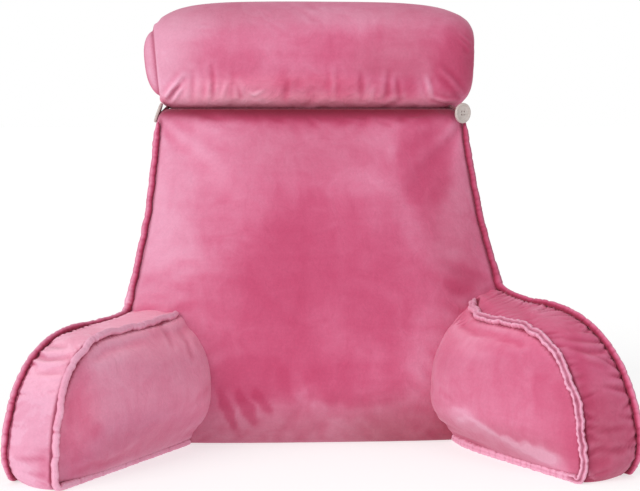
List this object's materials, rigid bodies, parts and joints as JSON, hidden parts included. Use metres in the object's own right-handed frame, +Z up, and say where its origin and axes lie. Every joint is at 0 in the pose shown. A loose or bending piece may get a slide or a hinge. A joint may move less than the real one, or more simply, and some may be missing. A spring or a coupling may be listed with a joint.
{
  "type": "reading pillow with arms",
  "caption": "Stuffed velvet wedge backrest with splayed arms, ruched welts along its edges and a bolster neck roll held on top by elastic loops over buttons.",
  "frame": {"origin": "middle of the backrest's flat base, on the surface the pillow stands on", "axes": "+Z up, -Y towards the sitter along the arms, +X to the right as seen from the front"},
  "size_m": [0.7578, 0.5311, 0.5861],
  "materials": {
    "velvet": "rose pink short-pile velvet with soft brushed patches",
    "welt_velvet": "the same velvet gathered into narrow welts",
    "button_white": "satin off-white moulded button",
    "thread_pink": "wound sewing thread",
    "elastic_red": "dark red round elastic"
  },
  "bodies": {
    "root": {"backrest": "velvet", "arm_left": "velvet", "arm_right": "velvet", "neck_roll": "velvet", "welt_outer_left": "welt_velvet", "welt_outer_right": "welt_velvet", "welt_inner_left": "welt_velvet", "welt_inner_right": "welt_velvet", "button_left": "button_white", "button_right": "button_white", "thread_left": "thread_pink", "thread_right": "thread_pink", "loop_left": "elastic_red", "loop_right": "elastic_red"}
  },
  "joints": []
}
